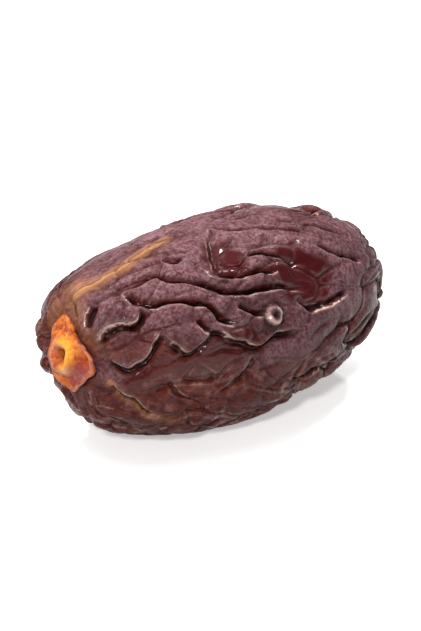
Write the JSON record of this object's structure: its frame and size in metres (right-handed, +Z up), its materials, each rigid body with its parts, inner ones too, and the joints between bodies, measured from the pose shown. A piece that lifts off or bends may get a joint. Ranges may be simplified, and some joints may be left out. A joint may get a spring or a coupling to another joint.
{
  "type": "medjool date",
  "caption": "Whole dried date fruit lying on its side, with wrinkled plated skin and the dry lobed cap at its stem end.",
  "frame": {"origin": "middle of the bottom of the whole date, on the surface that it lies on", "axes": "+X runs along the fruit from the stem end to the tip, +Z is up, -Y is the side that shows the cap and the large skin plates"},
  "size_m": [0.0464, 0.0272, 0.0237],
  "materials": {
    "date_skin": "wrinkled waxy skin, satin, darker in the creases",
    "dry_calyx": "dry glossy orange husk"
  },
  "bodies": {
    "root": {"date_body": "date_skin", "calyx_cap": "dry_calyx"}
  },
  "joints": []
}
